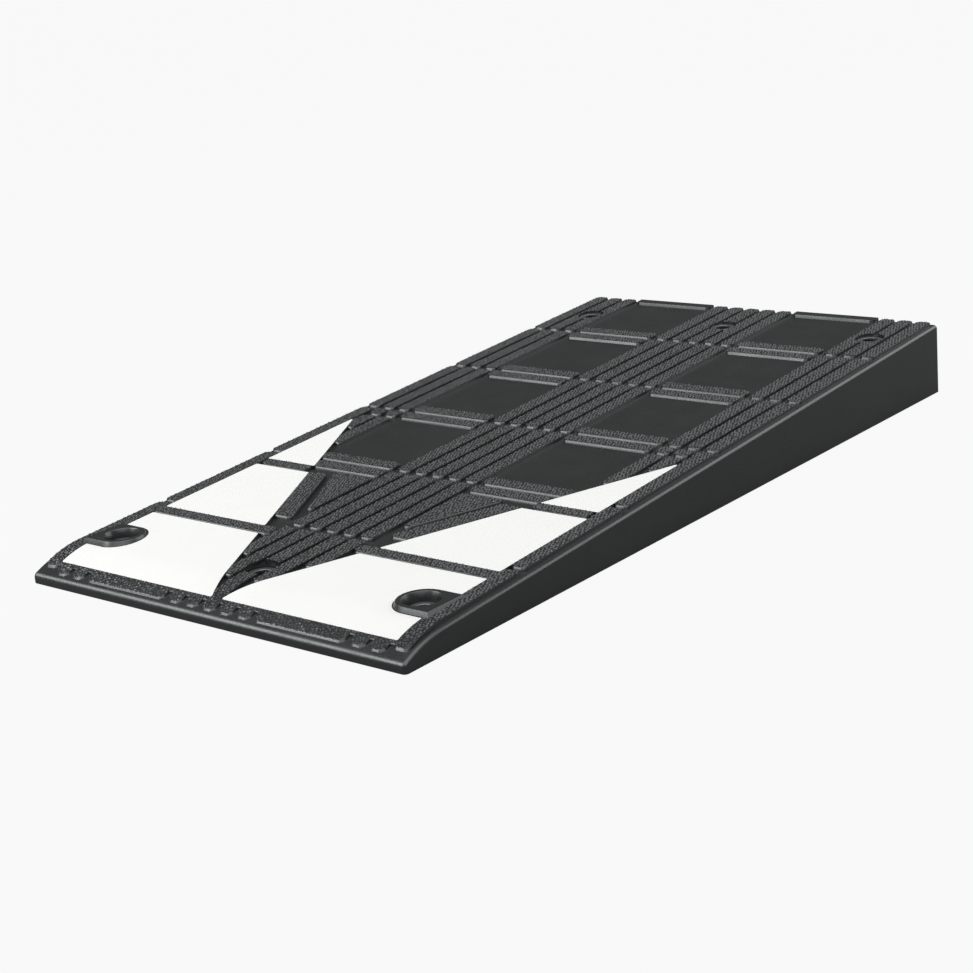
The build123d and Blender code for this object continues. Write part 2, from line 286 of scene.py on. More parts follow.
def rounded_outline(corners, radius, steps=5):
    """Closed counter-clockwise outline with an arc for each corner; radius is one value or a list."""
    corners = [Vector(corner) for corner in corners]
    radii = radius if isinstance(radius, list) else [radius] * len(corners)
    outline = []
    for i, corner in enumerate(corners):
        if not radii[i]:
            outline.append(corner)
            continue
        back = (corners[i - 1] - corner).normalized()
        ahead = (corners[(i + 1) % len(corners)] - corner).normalized()
        opening = back.angle(ahead)
        turn = (math.pi - opening) * math.copysign(1.0, ahead.cross(back))
        centre = corner + (back + ahead).normalized() * radii[i] / math.sin(opening / 2)
        spoke = corner + back * radii[i] / math.tan(opening / 2) - centre
        for step in range(steps + 1):
            outline.append(centre + Matrix.Rotation(turn * step / steps, 2) @ spoke)
    return outline


def arc_points(centre, radius, start, end, steps):
    """Points along an arc, from one angle to another in degrees."""
    turns = [math.radians(start + (end - start) * i / steps) for i in range(steps + 1)]
    x, y = centre
    return [Vector((x + radius * math.cos(turn), y + radius * math.sin(turn))) for turn in turns]


def circle_outline(centre, radius, facets):
    """Closed round outline."""
    return arc_points(centre, radius, 0, 360, facets)[:-1]


def inset_outline(outline, inset, side_inset=None):
    """The outline drawn in square to its sides, by the side inset where it doesn't face the front lip."""
    side_inset = inset if side_inset is None else side_inset
    moved = []
    for i, point in enumerate(outline):
        before = (point - outline[i - 1]).normalized()
        after = (outline[(i + 1) % len(outline)] - point).normalized()
        inward = Vector((-before.y - after.y, before.x + after.x))
        facing = min(1.0, CORNER_SHARE * max(0.0, inward.normalized().y))
        step = side_inset + (inset - side_inset) * facing
        moved.append(point + inward * step / (1 + before.dot(after)))
    return moved


def mirrored_outline(outline):
    """The outline on the other side of the ramp, still counter-clockwise."""
    return [Vector((-point.x, point.y)) for point in reversed(outline)]


def both_sides(outlines):
    """The outlines and their mirror images."""
    return outlines + [mirrored_outline(outline) for outline in outlines]


def edge_levels(inset, top, radius, steps=3):
    """Insets and heights of the rings that round an upper edge."""
    turns = [math.pi / 2 * i / steps for i in range(steps + 1)]
    return [(inset + radius * (1 - math.cos(turn)), top - radius + radius * math.sin(turn)) for turn in turns]


def add_rings(bm, outline, levels, side_insets=None, hollow=False):
    """Adds a closed shell with a ring for each level, capped, or joined end to end if it is hollow."""
    side_insets = side_insets or [inset for inset, height in levels]
    rings = []
    for (inset, height), side_inset in zip(levels, side_insets):
        drawn = inset_outline(outline, inset, side_inset)
        rings.append([bm.verts.new((point.x, point.y, height)) for point in drawn])
    pairs = list(zip(rings, rings[1:]))
    if hollow:
        pairs.append((rings[-1], rings[0]))
    else:
        bm.faces.new(reversed(rings[0]))
        bm.faces.new(rings[-1])
    for lower, upper in pairs:
        for i, corner in enumerate(lower):
            following = (i + 1) % len(lower)
            bm.faces.new((corner, lower[following], upper[following], upper[i]))


class SideProfile:
    """Heights of the smooth surface and of the ribs: straight slopes that bend down over a rounded nose."""

    def __init__(self, settings):
        sizes = settings.profile
        tread = settings.tread
        self.half_length = sizes.length / 2
        self.nose_start = sizes.nose_length - self.half_length
        self.nose_step = sizes.nose_step
        self.rib_height = tread.rib_height
        nose = sizes.lip_height + sizes.nose_drop
        rear = sizes.rear_height
        self.surface = self.line(rear - tread.rear_rib_height, nose, sizes.lip_height)
        self.ribs = self.line(rear, nose + tread.rib_height, sizes.lip_height + tread.nose_rib_height)

    def line(self, rear, nose, lip):
        """Grade, rear height, and centre and radius of the nose's arc, from the heights along the ramp."""
        grade = (rear - nose) / (self.half_length - self.nose_start)
        start = Vector((self.nose_start, nose))
        chord = Vector((-self.half_length, lip)) - start
        inward = Vector((grade, -1.0)).normalized()
        radius = chord.length_squared / (2 * chord.dot(inward))
        return grade, rear, start + radius * inward, radius

    def height(self, y, line):
        """Height of a line at a place along the ramp."""
        grade, rear, centre, radius = line
        if y >= self.nose_start:
            return rear - grade * (self.half_length - y)
        return centre.y + math.sqrt(radius ** 2 - (y - centre.x) ** 2)

    def smooth(self, y):
        """Height of the smooth surface."""
        return self.height(y, self.surface)

    def rib_top(self, y):
        """Height of the tops of the ribs."""
        return self.height(y, self.ribs)

    def between(self, y, nose, rear):
        """A value at a place along the ramp that changes evenly from the nose to the kerb face."""
        share = (y - self.nose_start) / (self.half_length - self.nose_start)
        return nose + (rear - nose) * max(0.0, share)

    def lay(self, bm, shrink=True):
        """Cuts a flat mesh across the nose and lifts it onto the profile, with tops that follow the ribs."""
        y = self.nose_start
        while y > -self.half_length:
            everything = bm.verts[:] + bm.edges[:] + bm.faces[:]
            bmesh.ops.bisect_plane(bm, geom=everything, dist=SKIN, plane_co=(0, y, 0), plane_no=(0, 1, 0))
            y -= self.nose_step
        for vert in bm.verts:
            if vert.co.z < GROUND / 2:
                vert.co.z -= GROUND
                continue
            # A block that is lower here loses height in its lower half, so that its edges keep their form
            surface = self.smooth(vert.co.y)
            lost = surface + self.rib_height - self.rib_top(vert.co.y) if shrink else 0.0
            share = min(1.0, max(0.0, 2 * vert.co.z / self.rib_height))
            vert.co.z += surface - lost * share


class TreadPlan:
    """Where the blocks of the tread and the marking fields lie, as outlines seen from above."""

    def __init__(self, settings):
        self.profile = settings.profile
        self.tread = tread = settings.tread
        self.marking = marking = settings.marking
        self.fixing = settings.fixing
        self.half_length = self.profile.length / 2
        self.half_width = self.profile.width / 2
        self.half_rib = tread.rib_width / 2
        self.past_rear = self.half_length + 2 * tread.end_round
        self.pad_front = tread.lip_ledge - self.half_length
        self.nosing_rear = self.pad_front + tread.pad_length
        self.outer_rib = self.half_width - tread.side_ledge - self.half_rib
        self.outer_rib_inside = self.outer_rib - self.half_rib
        half_count = tread.centre_rib_count // 2
        self.centre_ribs = [(i - half_count) * tread.rib_pitch for i in range(tread.centre_rib_count)]
        self.side_ribs = [self.outer_rib - i * tread.rib_pitch for i in range(tread.side_rib_count)]
        self.cleat_inside = self.centre_ribs[-1] + self.half_rib + tread.cleat_side_gap
        self.cleat_outside = self.side_ribs[-1] - self.half_rib - tread.cleat_side_gap
        room = self.profile.length - tread.first_row - tread.last_segment
        row_count = 1 + int(room // tread.row_step)
        self.rows = [tread.first_row - self.half_length + i * tread.row_step for i in range(row_count)]
        self.arrow_slope = (self.outer_rib_inside - marking.arrow_tip_width / 2) / marking.arrow_length
        self.edge_stretch = math.hypot(1.0, self.arrow_slope)
        bar_1_rear = self.rows[0] - marking.bar_1_setback
        bar_2_rear = self.rows[1] - marking.bar_2_setback
        self.bar_1 = (bar_1_rear - marking.bar_depth, bar_1_rear)
        self.bar_2 = (bar_2_rear - marking.bar_depth, bar_2_rear)

    def arrow_x(self, y, inset=0.0):
        """Half width of the arrow, moved out square to its edge by the inset."""
        along = self.arrow_slope * (y - self.nosing_rear)
        return self.marking.arrow_tip_width / 2 + along + inset * self.edge_stretch

    def arrow_y(self, x, inset=0.0):
        """Place along the ramp where the edge of the arrow, moved out by the inset, is x from the middle."""
        across = x - inset * self.edge_stretch - self.marking.arrow_tip_width / 2
        return self.nosing_rear + across / self.arrow_slope

    def block(self, x_low, x_high, y_low, y_high):
        """Straight bar with rounded ends."""
        radius = min(self.tread.end_round, END_SHARE * min(x_high - x_low, y_high - y_low))
        return rounded_outline([(x_low, y_low), (x_high, y_low), (x_high, y_high), (x_low, y_high)], radius)

    def rib_stretches(self, x, start):
        """Stretches of a rib from start to the kerb face, broken at each cross row."""
        breaks = [y for y in self.rows if y > start]
        fronts = [start] + breaks
        rears = [y - self.tread.row_gap for y in breaks] + [self.half_length - self.tread.end_gap]
        return [self.block(x - self.half_rib, x + self.half_rib, *ends) for ends in zip(fronts, rears)]

    def pointed_rib(self, x, rear):
        """Front stretch of a rib whose end is cut back along the edge of the arrow."""
        inside = x - self.half_rib
        outside = x + self.half_rib
        front = self.arrow_y(x, self.marking.arrow_reach)
        corner = self.arrow_y(outside, self.marking.arrow_reach)
        corners = [(inside, front), (x, front), (outside, corner), (outside, rear), (inside, rear)]
        return rounded_outline(corners, self.tread.point_round)

    def nosing_pad(self, x_low, x_high, rear, rear_round=0.0):
        """Pad with a rounded front end."""
        radius = min(self.tread.pad_round, END_SHARE * (x_high - x_low))
        corners = [(x_low, self.pad_front), (x_high, self.pad_front), (x_high, rear), (x_low, rear)]
        return rounded_outline(corners, [radius, radius, rear_round, rear_round])

    def centre_group(self):
        """Ribs along the middle, in the point of the arrow; the middle one starts with its nosing pad."""
        first_rear = self.rows[0] - self.tread.row_gap
        outlines = [self.nosing_pad(-self.half_rib, self.half_rib, first_rear, self.tread.end_round)]
        outlines += self.rib_stretches(0.0, self.rows[0])
        for x in self.centre_ribs:
            if x > self.half_rib:
                front = [self.pointed_rib(x, first_rear)]
                outlines += both_sides(front + self.rib_stretches(x, self.rows[0]))
        return outlines

    def side_group(self):
        """Ribs along both sides: the outermost from the nosing on, the others from the arrow's edge on."""
        outlines = self.rib_stretches(self.outer_rib, self.pad_front + self.tread.outer_rib_setback)
        for x in self.side_ribs[1:]:
            reach = self.arrow_y(x + self.half_rib) + self.tread.rib_pitch
            next_row = min(y for y in self.rows if y > reach)
            stub_front = next_row - self.tread.rib_pitch
            outlines.append(self.pointed_rib(x, stub_front - self.tread.row_gap))
            stub_rear = next_row - self.tread.row_gap
            outlines.append(self.block(x - self.half_rib, x + self.half_rib, stub_front, stub_rear))
            outlines += self.rib_stretches(x, next_row)
        return both_sides(outlines)

    def cleat(self, y):
        """One cleat between the rib groups, cut along the edge of the arrow where it reaches that far."""
        rear = y + self.tread.rib_width
        border = self.marking.arrow_reach
        inside = self.cleat_inside
        outside_front = min(self.cleat_outside, self.arrow_x(y, border))
        outside_rear = min(self.cleat_outside, self.arrow_x(rear, border))
        corners = [(inside, y), (outside_front, y), (outside_rear, rear), (inside, rear)]
        return rounded_outline(corners, self.tread.end_round)

    def cleats(self):
        """Pairs of cleats at each row behind the first."""
        outlines = []
        for y in self.rows[1:]:
            outlines += [self.cleat(y), self.cleat(y - self.tread.rib_pitch)]
        return both_sides(outlines)

    def rear_bars(self):
        """Smooth bars at the kerb face."""
        front = self.half_length - self.tread.rear_bar_depth
        return both_sides([self.block(self.cleat_inside, self.cleat_outside, front, self.past_rear)])

    def nosing_pads(self):
        """Pads behind the front lip, beside the middle rib."""
        spans = [(x - self.half_rib, x + self.half_rib) for x in self.centre_ribs if x > self.half_rib]
        spans += [(x - self.half_rib, x + self.half_rib) for x in self.side_ribs[1:]]
        spans.append((self.cleat_inside, self.cleat_outside))
        rear = self.nosing_rear + self.tread.side_round
        return both_sides([self.nosing_pad(low, high, rear) for low, high in spans])

    def nosing_rail(self):
        """Rail that joins the pads at the back."""
        front = self.nosing_rear - self.tread.rail_depth
        return self.block(-self.outer_rib, self.outer_rib, front, self.nosing_rear)

    def marking_bars(self):
        """Bars that divide the white marking: the front one runs from the ribs to the outermost rib."""
        inside = self.cleat_inside - self.tread.cleat_side_gap / 2
        front = self.block(inside, self.outer_rib, *self.bar_1)
        gap = self.marking.bar_end_gap
        inside = self.arrow_x(self.bar_2[1]) + gap / 2
        rear = self.block(inside, self.outer_rib_inside - gap, *self.bar_2)
        return both_sides([front, rear])

    def arrow_blocks(self):
        """Border bars along the edges of the arrow and the three-cornered pads inside them."""
        marking = self.marking
        border = marking.arrow_reach
        inner = border - marking.border_bar_width
        front = self.rows[0] + marking.border_bar_setback
        rear = self.bar_2[0]
        front_inner = self.arrow_x(front) + inner
        rear_inner = self.arrow_x(rear) + inner
        corners = [(front_inner, front), (self.arrow_x(front, border), front)]
        corners += [(self.arrow_x(rear, border), rear), (rear_inner, rear)]
        bar = rounded_outline(corners, self.tread.end_round)
        pad_edge = inner / self.edge_stretch - marking.arrow_pad_gap
        front = self.arrow_y(self.cleat_inside, pad_edge) + marking.arrow_pad_setback
        rear = self.rows[1] - self.tread.rib_pitch - self.tread.row_gap
        corners = [(self.cleat_inside, front), (self.arrow_x(front, pad_edge), front)]
        corners += [(self.arrow_x(rear, pad_edge), rear), (self.cleat_inside, rear)]
        return both_sides([bar, rounded_outline(corners, self.tread.point_round)])

    def ribs(self):
        """Ribs, cleats, pads and arrow blocks, none of which overlaps another."""
        groups = self.centre_group() + self.side_group()
        return groups + self.cleats() + self.nosing_pads() + self.arrow_blocks()

    def boss(self, margin=0.0):
        """Front right boss, round towards the middle and straight towards the outermost rib."""
        centre = hole_centre("front_right")
        radius = self.fixing.boss_radius + margin
        end = self.outer_rib_inside + self.fixing.boss_overlap
        neck = [Vector((end, centre.y - radius)), Vector((end, centre.y + radius))]
        return neck + arc_points(centre, radius, 90, 270, self.fixing.facets // 2)

    def field(self, place, inset=0.0):
        """Corners of one marking field on the +X side, drawn in from its walls by the inset."""
        apex = self.arrow_y(self.outer_rib_inside)
        spans = {
            "front": (self.nosing_rear, self.bar_1[0]),
            "middle": (self.bar_1[1], self.bar_2[0]),
            "rear": (self.bar_2[1], apex),
        }
        front, rear = spans[place]
        front += inset
        outside = self.outer_rib_inside - inset
        corners = [(self.arrow_x(front, inset), front), (outside, front)]
        if place == "rear":
            return corners + [(outside, self.arrow_y(outside, inset))]
        rear -= inset
        return corners + [(outside, rear), (self.arrow_x(rear, inset), rear)]

    def sheet(self, place, gap):
        """Marking sheet on the +X side with a gap to its field, the front one cut out round the boss."""
        outline = rounded_outline(self.field(place, gap), self.marking.corner + self.marking.clearance - gap)
        if place != "front":
            return outline
        # Counter-clockwise: the front corners, the boss from front to rear, then the rear corners
        cut = self.boss(self.fixing.boss_flare + gap)[2:]
        outside = self.outer_rib_inside - gap
        front = [point for point in outline if point.y < cut[-1].y]
        rear = [point for point in outline if point.y > cut[0].y]
        after = [point for point in rear if point.x > cut[0].x]
        before = [point for point in rear if point.x <= cut[0].x]
        notch = [Vector((outside, cut[-1].y))] + list(reversed(cut)) + [Vector((outside, cut[0].y))]
        first = max(range(len(front)), key=lambda i: (front[i].x > cut[0].x, front[i].y))
        front = front[first + 1:] + front[:first + 1]
        return front + notch + after + before


# Node trees

def pick(sockets, key):
    """A socket by its number, identifier or name."""
    if isinstance(key, int):
        return sockets[key]
    for socket in sockets:
        if socket.identifier == key:
            return socket
    return sockets[key]


class Wire:
    """An output socket, on which sums can be written as Python expressions."""

    def __init__(self, builder, socket):
        self.builder = builder
        self.socket = socket

    def __getitem__(self, key):
        return Wire(self.builder, pick(self.socket.node.outputs, key))

    def math(self, operation, *values):
        """The result of a Math node."""
        return self.builder.node("ShaderNodeMath", dict(enumerate(values)), operation=operation)

    def __add__(self, other):
        return self.math("ADD", self, other)

    def __radd__(self, other):
        return self.math("ADD", other, self)

    def __rsub__(self, other):
        return self.math("SUBTRACT", other, self)

    def __mul__(self, other):
        return self.math("MULTIPLY", self, other)

    def __rmul__(self, other):
        return self.math("MULTIPLY", other, self)

    def __truediv__(self, other):
        return self.math("DIVIDE", self, other)


class NodeBuilder:
    """Adds nodes to a tree."""

    def __init__(self, tree):
        self.tree = tree
        tree.nodes.clear()

    def node(self, kind, sockets=None, **settings):
        """Adds a node with its settings and then its socket values or links, and returns its first output."""
        made = self.tree.nodes.new(kind)
        for name, value in settings.items():
            setattr(made, name, value)
        for key, value in (sockets or {}).items():
            self.feed(pick(made.inputs, key), value)
        return Wire(self, made.outputs[0]) if made.outputs else None

    def feed(self, socket, value):
        """Links a wire or several wires to a socket, or sets its value."""
        wires = value if isinstance(value, list) else [value]
        for wire in wires:
            if isinstance(wire, Wire):
                self.tree.links.new(wire.socket, socket)
            else:
                socket.default_value = wire


def geometry_tree(name, inputs):
    """A new geometry node tree with named inputs, its builder and the wire of its inputs."""
    tree = bpy.data.node_groups.new(name, "GeometryNodeTree")
    for label, kind in {"Geometry": "NodeSocketGeometry", **inputs}.items():
        tree.interface.new_socket(label, in_out="INPUT", socket_type=kind)
    tree.interface.new_socket("Geometry", in_out="OUTPUT", socket_type="NodeSocketGeometry")
    builder = NodeBuilder(tree)
    return builder, builder.node("NodeGroupInput")


def end_tree(builder, geometry, material):
    """Ends a tree with real geometry in its material."""
    real = builder.node("GeometryNodeRealizeInstances", {"Geometry": geometry})
    dressed = builder.node("GeometryNodeSetMaterial", {"Geometry": real, "Material": material})
    builder.node("NodeGroupOutput", {"Geometry": dressed})
    return builder.tree


def join_solids(builder, operation, first, *others):
    """Joins closed meshes, keeps what they share, or cuts the others from the first."""
    sockets = {"Mesh 2": [first, *others]}
    if operation == "DIFFERENCE":
        sockets = {"Mesh 1": first, "Mesh 2": list(others)}
    return builder.node("GeometryNodeMeshBoolean", sockets, operation=operation, solver="MANIFOLD")


def given_solids(builder, given, names):
    """The meshes of the objects that a tree is given."""
    return [builder.node("GeometryNodeObjectInfo", {"Object": given[name]})["Geometry"] for name in names]


def moulding_tree():
    """Joins the wedge and the tread blocks, cuts the marking seats, adds the bosses and cuts the holes."""
    names = ("Ribs", "Bars", "Plates", "Fields", "Seats", "Bosses", "Cutters")
    kinds = {name: "NodeSocketObject" for name in names}
    builder, given = geometry_tree("Ramp moulding", {**kinds, "Material": "NodeSocketMaterial"})
    ribs, bars, plates, fields, seats, bosses, cutters = given_solids(builder, given, names)
    blank = join_solids(builder, "UNION", given["Geometry"], ribs, bars, plates)
    levelled = join_solids(builder, "DIFFERENCE", blank, fields)
    seated = join_solids(builder, "DIFFERENCE", levelled, seats)
    bossed = join_solids(builder, "UNION", seated, bosses)
    drilled = join_solids(builder, "DIFFERENCE", bossed, cutters)
    return end_tree(builder, drilled, given["Material"])


def random_vector(builder, low, high, seed):
    """A vector drawn at random for each point."""
    sockets = {"Min": low, "Max": high, "Seed": seed}
    return builder.node("FunctionNodeRandomValue", sockets, data_type="FLOAT_VECTOR")


def scaled_random(builder, reach, seed):
    """A level vector drawn at random for each point, with at most the given reach along X and along Y."""
    drawn = random_vector(builder, (-1, -1, 0), (1, 1, 0), seed)
    return builder.node("ShaderNodeVectorMath", {0: drawn, "Scale": reach}, operation="SCALE")


def stud_tree():
    """Sets small worn pyramids on the given areas, in slanting rows, and trims them at the edges."""
    sizes = ("Field", "Pitch", "Turn", "Scatter", "Width", "Top width", "Height", "Wear", "Lean", "Sink")
    names = ("Ribs", "Bars", "Fields", "Cutters")
    kinds = {name: "NodeSocketFloat" for name in sizes}
    kinds.update({name: "NodeSocketObject" for name in names})
    kinds["Material"] = "NodeSocketMaterial"
    builder, given = geometry_tree("Tread studs", kinds)
    ribs, bars, fields, cutters = given_solids(builder, given, names)
    fitting = given["Field"] / given["Pitch"]
    count = fitting.math("FLOOR", fitting)
    side = count * given["Pitch"]
    grid_sizes = {"Size X": side, "Size Y": side, "Vertices X": count + 1, "Vertices Y": count + 1}
    grid = builder.node("GeometryNodeMeshGrid", grid_sizes)
    turn = builder.node("ShaderNodeCombineXYZ", {"Z": given["Turn"]})
    turned = builder.node("GeometryNodeTransform", {"Geometry": grid, "Rotation": turn})
    shift = scaled_random(builder, given["Scatter"], SHIFT_SEED)
    scattered = builder.node("GeometryNodeSetPosition", {"Geometry": turned, "Offset": shift})
    place = builder.node("ShaderNodeSeparateXYZ", {0: builder.node("GeometryNodeInputPosition")})
    above = builder.node("ShaderNodeCombineXYZ", {"X": place["X"], "Y": place["Y"], "Z": RAY_START})
    ray = {"Target Geometry": given["Geometry"], "Source Position": above, "Ray Length": 2 * RAY_START}
    hit = builder.node("GeometryNodeRaycast", ray)
    missed = builder.node("FunctionNodeBooleanMath", {0: hit["Is Hit"]}, operation="NOT")
    dropped = {"Geometry": scattered, "Selection": missed}
    kept = builder.node("GeometryNodeDeleteGeometry", dropped, domain="POINT")
    lowered = builder.node("ShaderNodeCombineXYZ", {"Z": 0 - given["Sink"]})
    seat = {"Geometry": kept, "Position": hit["Hit Position"], "Offset": lowered}
    seats = builder.node("GeometryNodeSetPosition", seat)
    pyramid = {
        "Vertices": 4,
        "Radius Top": given["Top width"] / math.sqrt(2),
        "Radius Bottom": given["Width"] / math.sqrt(2),
        "Depth": given["Height"] + given["Sink"],
    }
    stud = builder.node("GeometryNodeMeshCone", pyramid)
    corner = builder.node("ShaderNodeCombineXYZ", {"Z": given["Turn"] + math.pi / 4})
    squared = builder.node("GeometryNodeTransform", {"Geometry": stud, "Rotation": corner})
    lean = scaled_random(builder, given["Lean"], LEAN_SEED)
    toward = builder.node("ShaderNodeVectorMath", {0: hit["Hit Normal"], 1: lean}, operation="ADD")
    upright = builder.node("FunctionNodeAlignRotationToVector", {"Vector": toward}, axis="Z")
    drawn = random_vector(builder, (0, 0, 0), (1, 1, 1), WEAR_SEED)
    chance = builder.node("ShaderNodeSeparateXYZ", {0: drawn})["Z"]
    worn = FULL_STUD - given["Wear"] * chance
    stretch = builder.node("ShaderNodeCombineXYZ", {"X": 1.0, "Y": 1.0, "Z": worn})
    copies = {"Points": seats, "Instance": squared, "Rotation": upright, "Scale": stretch}
    studs = builder.node("GeometryNodeInstanceOnPoints", copies)
    real = builder.node("GeometryNodeRealizeInstances", {"Geometry": studs})
    tops = join_solids(builder, "UNION", ribs, bars)
    trimmed = join_solids(builder, "INTERSECT", real, tops)
    cleared = join_solids(builder, "DIFFERENCE", trimmed, fields, cutters)
    return end_tree(builder, cleared, given["Material"])


# Materials

def new_material(name):
    """A material with an empty node tree, and its builder."""
    material = bpy.data.materials.new(name)
    material.use_nodes = True
    return material, NodeBuilder(material.node_tree)


def noise(builder, place, scale, detail):
    """Soft noise with a number of spots to the metre."""
    return builder.node("ShaderNodeTexNoise", {"Vector": place, "Scale": scale, "Detail": detail})


def spread(builder, value, low, high):
    """The value stretched so that low becomes nothing and high becomes one."""
    return builder.node("ShaderNodeMapRange", {"Value": value, "From Min": low, "From Max": high})


def mix_colour(builder, share, first, second):
    """A colour between two colours."""
    sockets = {"Factor_Float": share, "A_Color": (*first, 1.0), "B_Color": (*second, 1.0)}
    return builder.node("ShaderNodeMix", sockets, data_type="RGBA")["Result_Color"]


def bump(builder, height, strength, depth):
    """A surface normal from a height between nothing and one."""
    return builder.node("ShaderNodeBump", {"Height": height, "Strength": strength, "Distance": depth})


def finish_material(builder, sockets):
    """Ends a material in one shader."""
    shader = builder.node("ShaderNodeBsdfPrincipled", sockets)
    builder.node("ShaderNodeOutputMaterial", {"Surface": shader})


def moulded_rubber(finishes):
    """Matte moulded rubber with a fine grain and a faint, uneven bloom."""
    material, builder = new_material("moulded_rubber")
    place = builder.node("ShaderNodeTexCoord")["Object"]
    clouds = spread(builder, noise(builder, place, scale=22.0, detail=4.0), low=0.35, high=0.65)
    specks = spread(builder, noise(builder, place, scale=420.0, detail=3.0), low=0.35, high=0.7)
    grain = noise(builder, place, scale=1500.0, detail=2.0)
    bloom = clouds * 0.45 + specks * 0.4
    finish_material(
        builder,
        {
            "Base Color": mix_colour(builder, bloom, finishes.rubber, finishes.rubber_bloom),
            "Roughness": finishes.rubber_roughness + 0.06 * clouds + 0.08 * specks,
            "Specular IOR Level": finishes.rubber_gloss,
            "Specular Tint": (*finishes.rubber_sheen, 1.0),
            "Normal": bump(builder, grain * 0.6 + specks * 0.4, strength=0.2, depth=0.1 * MM),
        },
    )
    return material


def matte_white(finishes):
    """Matte white inlay with a fine orange-peel skin and faintly duller patches."""
    material, builder = new_material("matte_white")
    place = builder.node("ShaderNodeTexCoord")["Object"]
    clouds = spread(builder, noise(builder, place, scale=16.0, detail=4.0), low=0.4, high=0.75)
    peel = noise(builder, place, scale=700.0, detail=2.0)
    finish_material(
        builder,
        {
            "Base Color": mix_colour(builder, clouds * 0.6, finishes.marking, finishes.marking_grey),
            "Roughness": finishes.marking_roughness + 0.08 * clouds,
            "Specular IOR Level": finishes.marking_gloss,
            "Normal": bump(builder, peel, strength=0.25, depth=0.12 * MM),
        },
    )
    return material


def zinc_steel(finishes):
    """Dull zinc-plated steel with a mottled bloom and fine scratches."""
    material, builder = new_material("zinc_steel")
    place = builder.node("ShaderNodeTexCoord")["Object"]
    mottle = spread(builder, noise(builder, place, scale=260.0, detail=4.0), low=0.35, high=0.7)
    stretch = builder.node("ShaderNodeMapping", {"Vector": place, "Scale": (300.0, 2600.0, 300.0)})
    scratches = noise(builder, stretch, scale=1.0, detail=2.0)
    finish_material(
        builder,
        {
            "Base Color": mix_colour(builder, mottle, finishes.steel, finishes.steel_dull),
            "Metallic": 1.0,
            "Roughness": finishes.steel_roughness + 0.15 * mottle,
            "Normal": bump(builder, scratches, strength=0.2, depth=0.1 * MM),
        },
    )
    return material


def get_material(name, maker, finishes):
    """The named material, made once."""
    return bpy.data.materials.get(name) or maker(finishes)


# Objects

def mesh_object(name, bm):
    """Turns a bmesh into an object in the scene."""
    mesh = bpy.data.meshes.new(name)
    bm.to_mesh(mesh)
    bm.free()
    made = bpy.data.objects.new(name, mesh)
    bpy.context.scene.collection.objects.link(made)
    return made


def blocks_object(name, groups, profile):
    """One object of closed blocks on the surface, from groups of outlines, levels and side insets."""
    bm = bmesh.new()
    for outlines, levels, side_insets in groups:
        for outline in outlines:
            add_rings(bm, outline, levels, side_insets)
    profile.lay(bm)
    return mesh_object(name, bm)


def field_cutters(settings, plan, profile):
    """Cutters that clear the marking fields above the rims of the sheets."""
    rim_top = settings.tread.rib_height - settings.marking.below_ribs - settings.marking.rim_drop
    outlines = [[Vector(corner) for corner in plan.field(place, -SKIN)] for place in FIELD_PLACES]
    levels = [(0.0, rim_top), (0.0, CUTTER_TOP)]
    return blocks_object("fields", [(both_sides(outlines), levels, None)], profile)


def add_kerb_cutter(bm, settings, plan, margin=0.0):
    """Adds a box behind the kerb face."""
    x, y, far = 2 * plan.half_width, plan.half_length - margin, 2 * plan.half_length
    behind = [Vector(corner) for corner in ((-x, y), (x, y), (x, far), (-x, far))]
    tall = 2 * settings.profile.rear_height
    add_rings(bm, behind, [(0.0, -tall), (0.0, tall)])


def evaluated_mesh(base, name):
    """The object's mesh with its modifiers applied."""
    bpy.context.view_layer.update()
    shown = base.evaluated_get(bpy.context.evaluated_depsgraph_get())
    mesh = bpy.data.meshes.new_from_object(shown)
    mesh.name = name
    return mesh


def run_tree(base, tree, values, name):
    """Runs a node tree on an object and keeps the result as its plain mesh."""
    modifier = base.modifiers.new(tree.name, "NODES")
    modifier.node_group = tree
    for item in tree.interface.items_tree:
        if item.in_out == "INPUT" and item.name in values:
            modifier[item.identifier] = values[item.name]
    mesh = evaluated_mesh(base, name)
    base.modifiers.remove(modifier)
    if not mesh.polygons:
        raise RuntimeError(f"{tree.name} gave no faces")
    base.data = mesh
    base.name = name


def smooth_shading(piece, degrees):
    """Smooth shading with sharp edges past an angle, and flat faces that stay flat."""
    piece.data.shade_smooth()
    piece.data.set_sharp_from_angle(angle=math.radians(degrees))
    modifier = piece.modifiers.new("Flat faces", "WEIGHTED_NORMAL")
    modifier.keep_sharp = True
    mesh = evaluated_mesh(piece, piece.name)
    piece.modifiers.remove(modifier)
    piece.data = mesh


def remove_objects(helpers):
    """Deletes helper objects."""
    for helper in helpers:
        bpy.data.objects.remove(helper)


def add_to_frame(piece, slot, *nodes):
    """Fixes a piece to the ramp, in place of the named nodes."""
    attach(piece, "root")
    if nodes:
        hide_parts(*nodes)


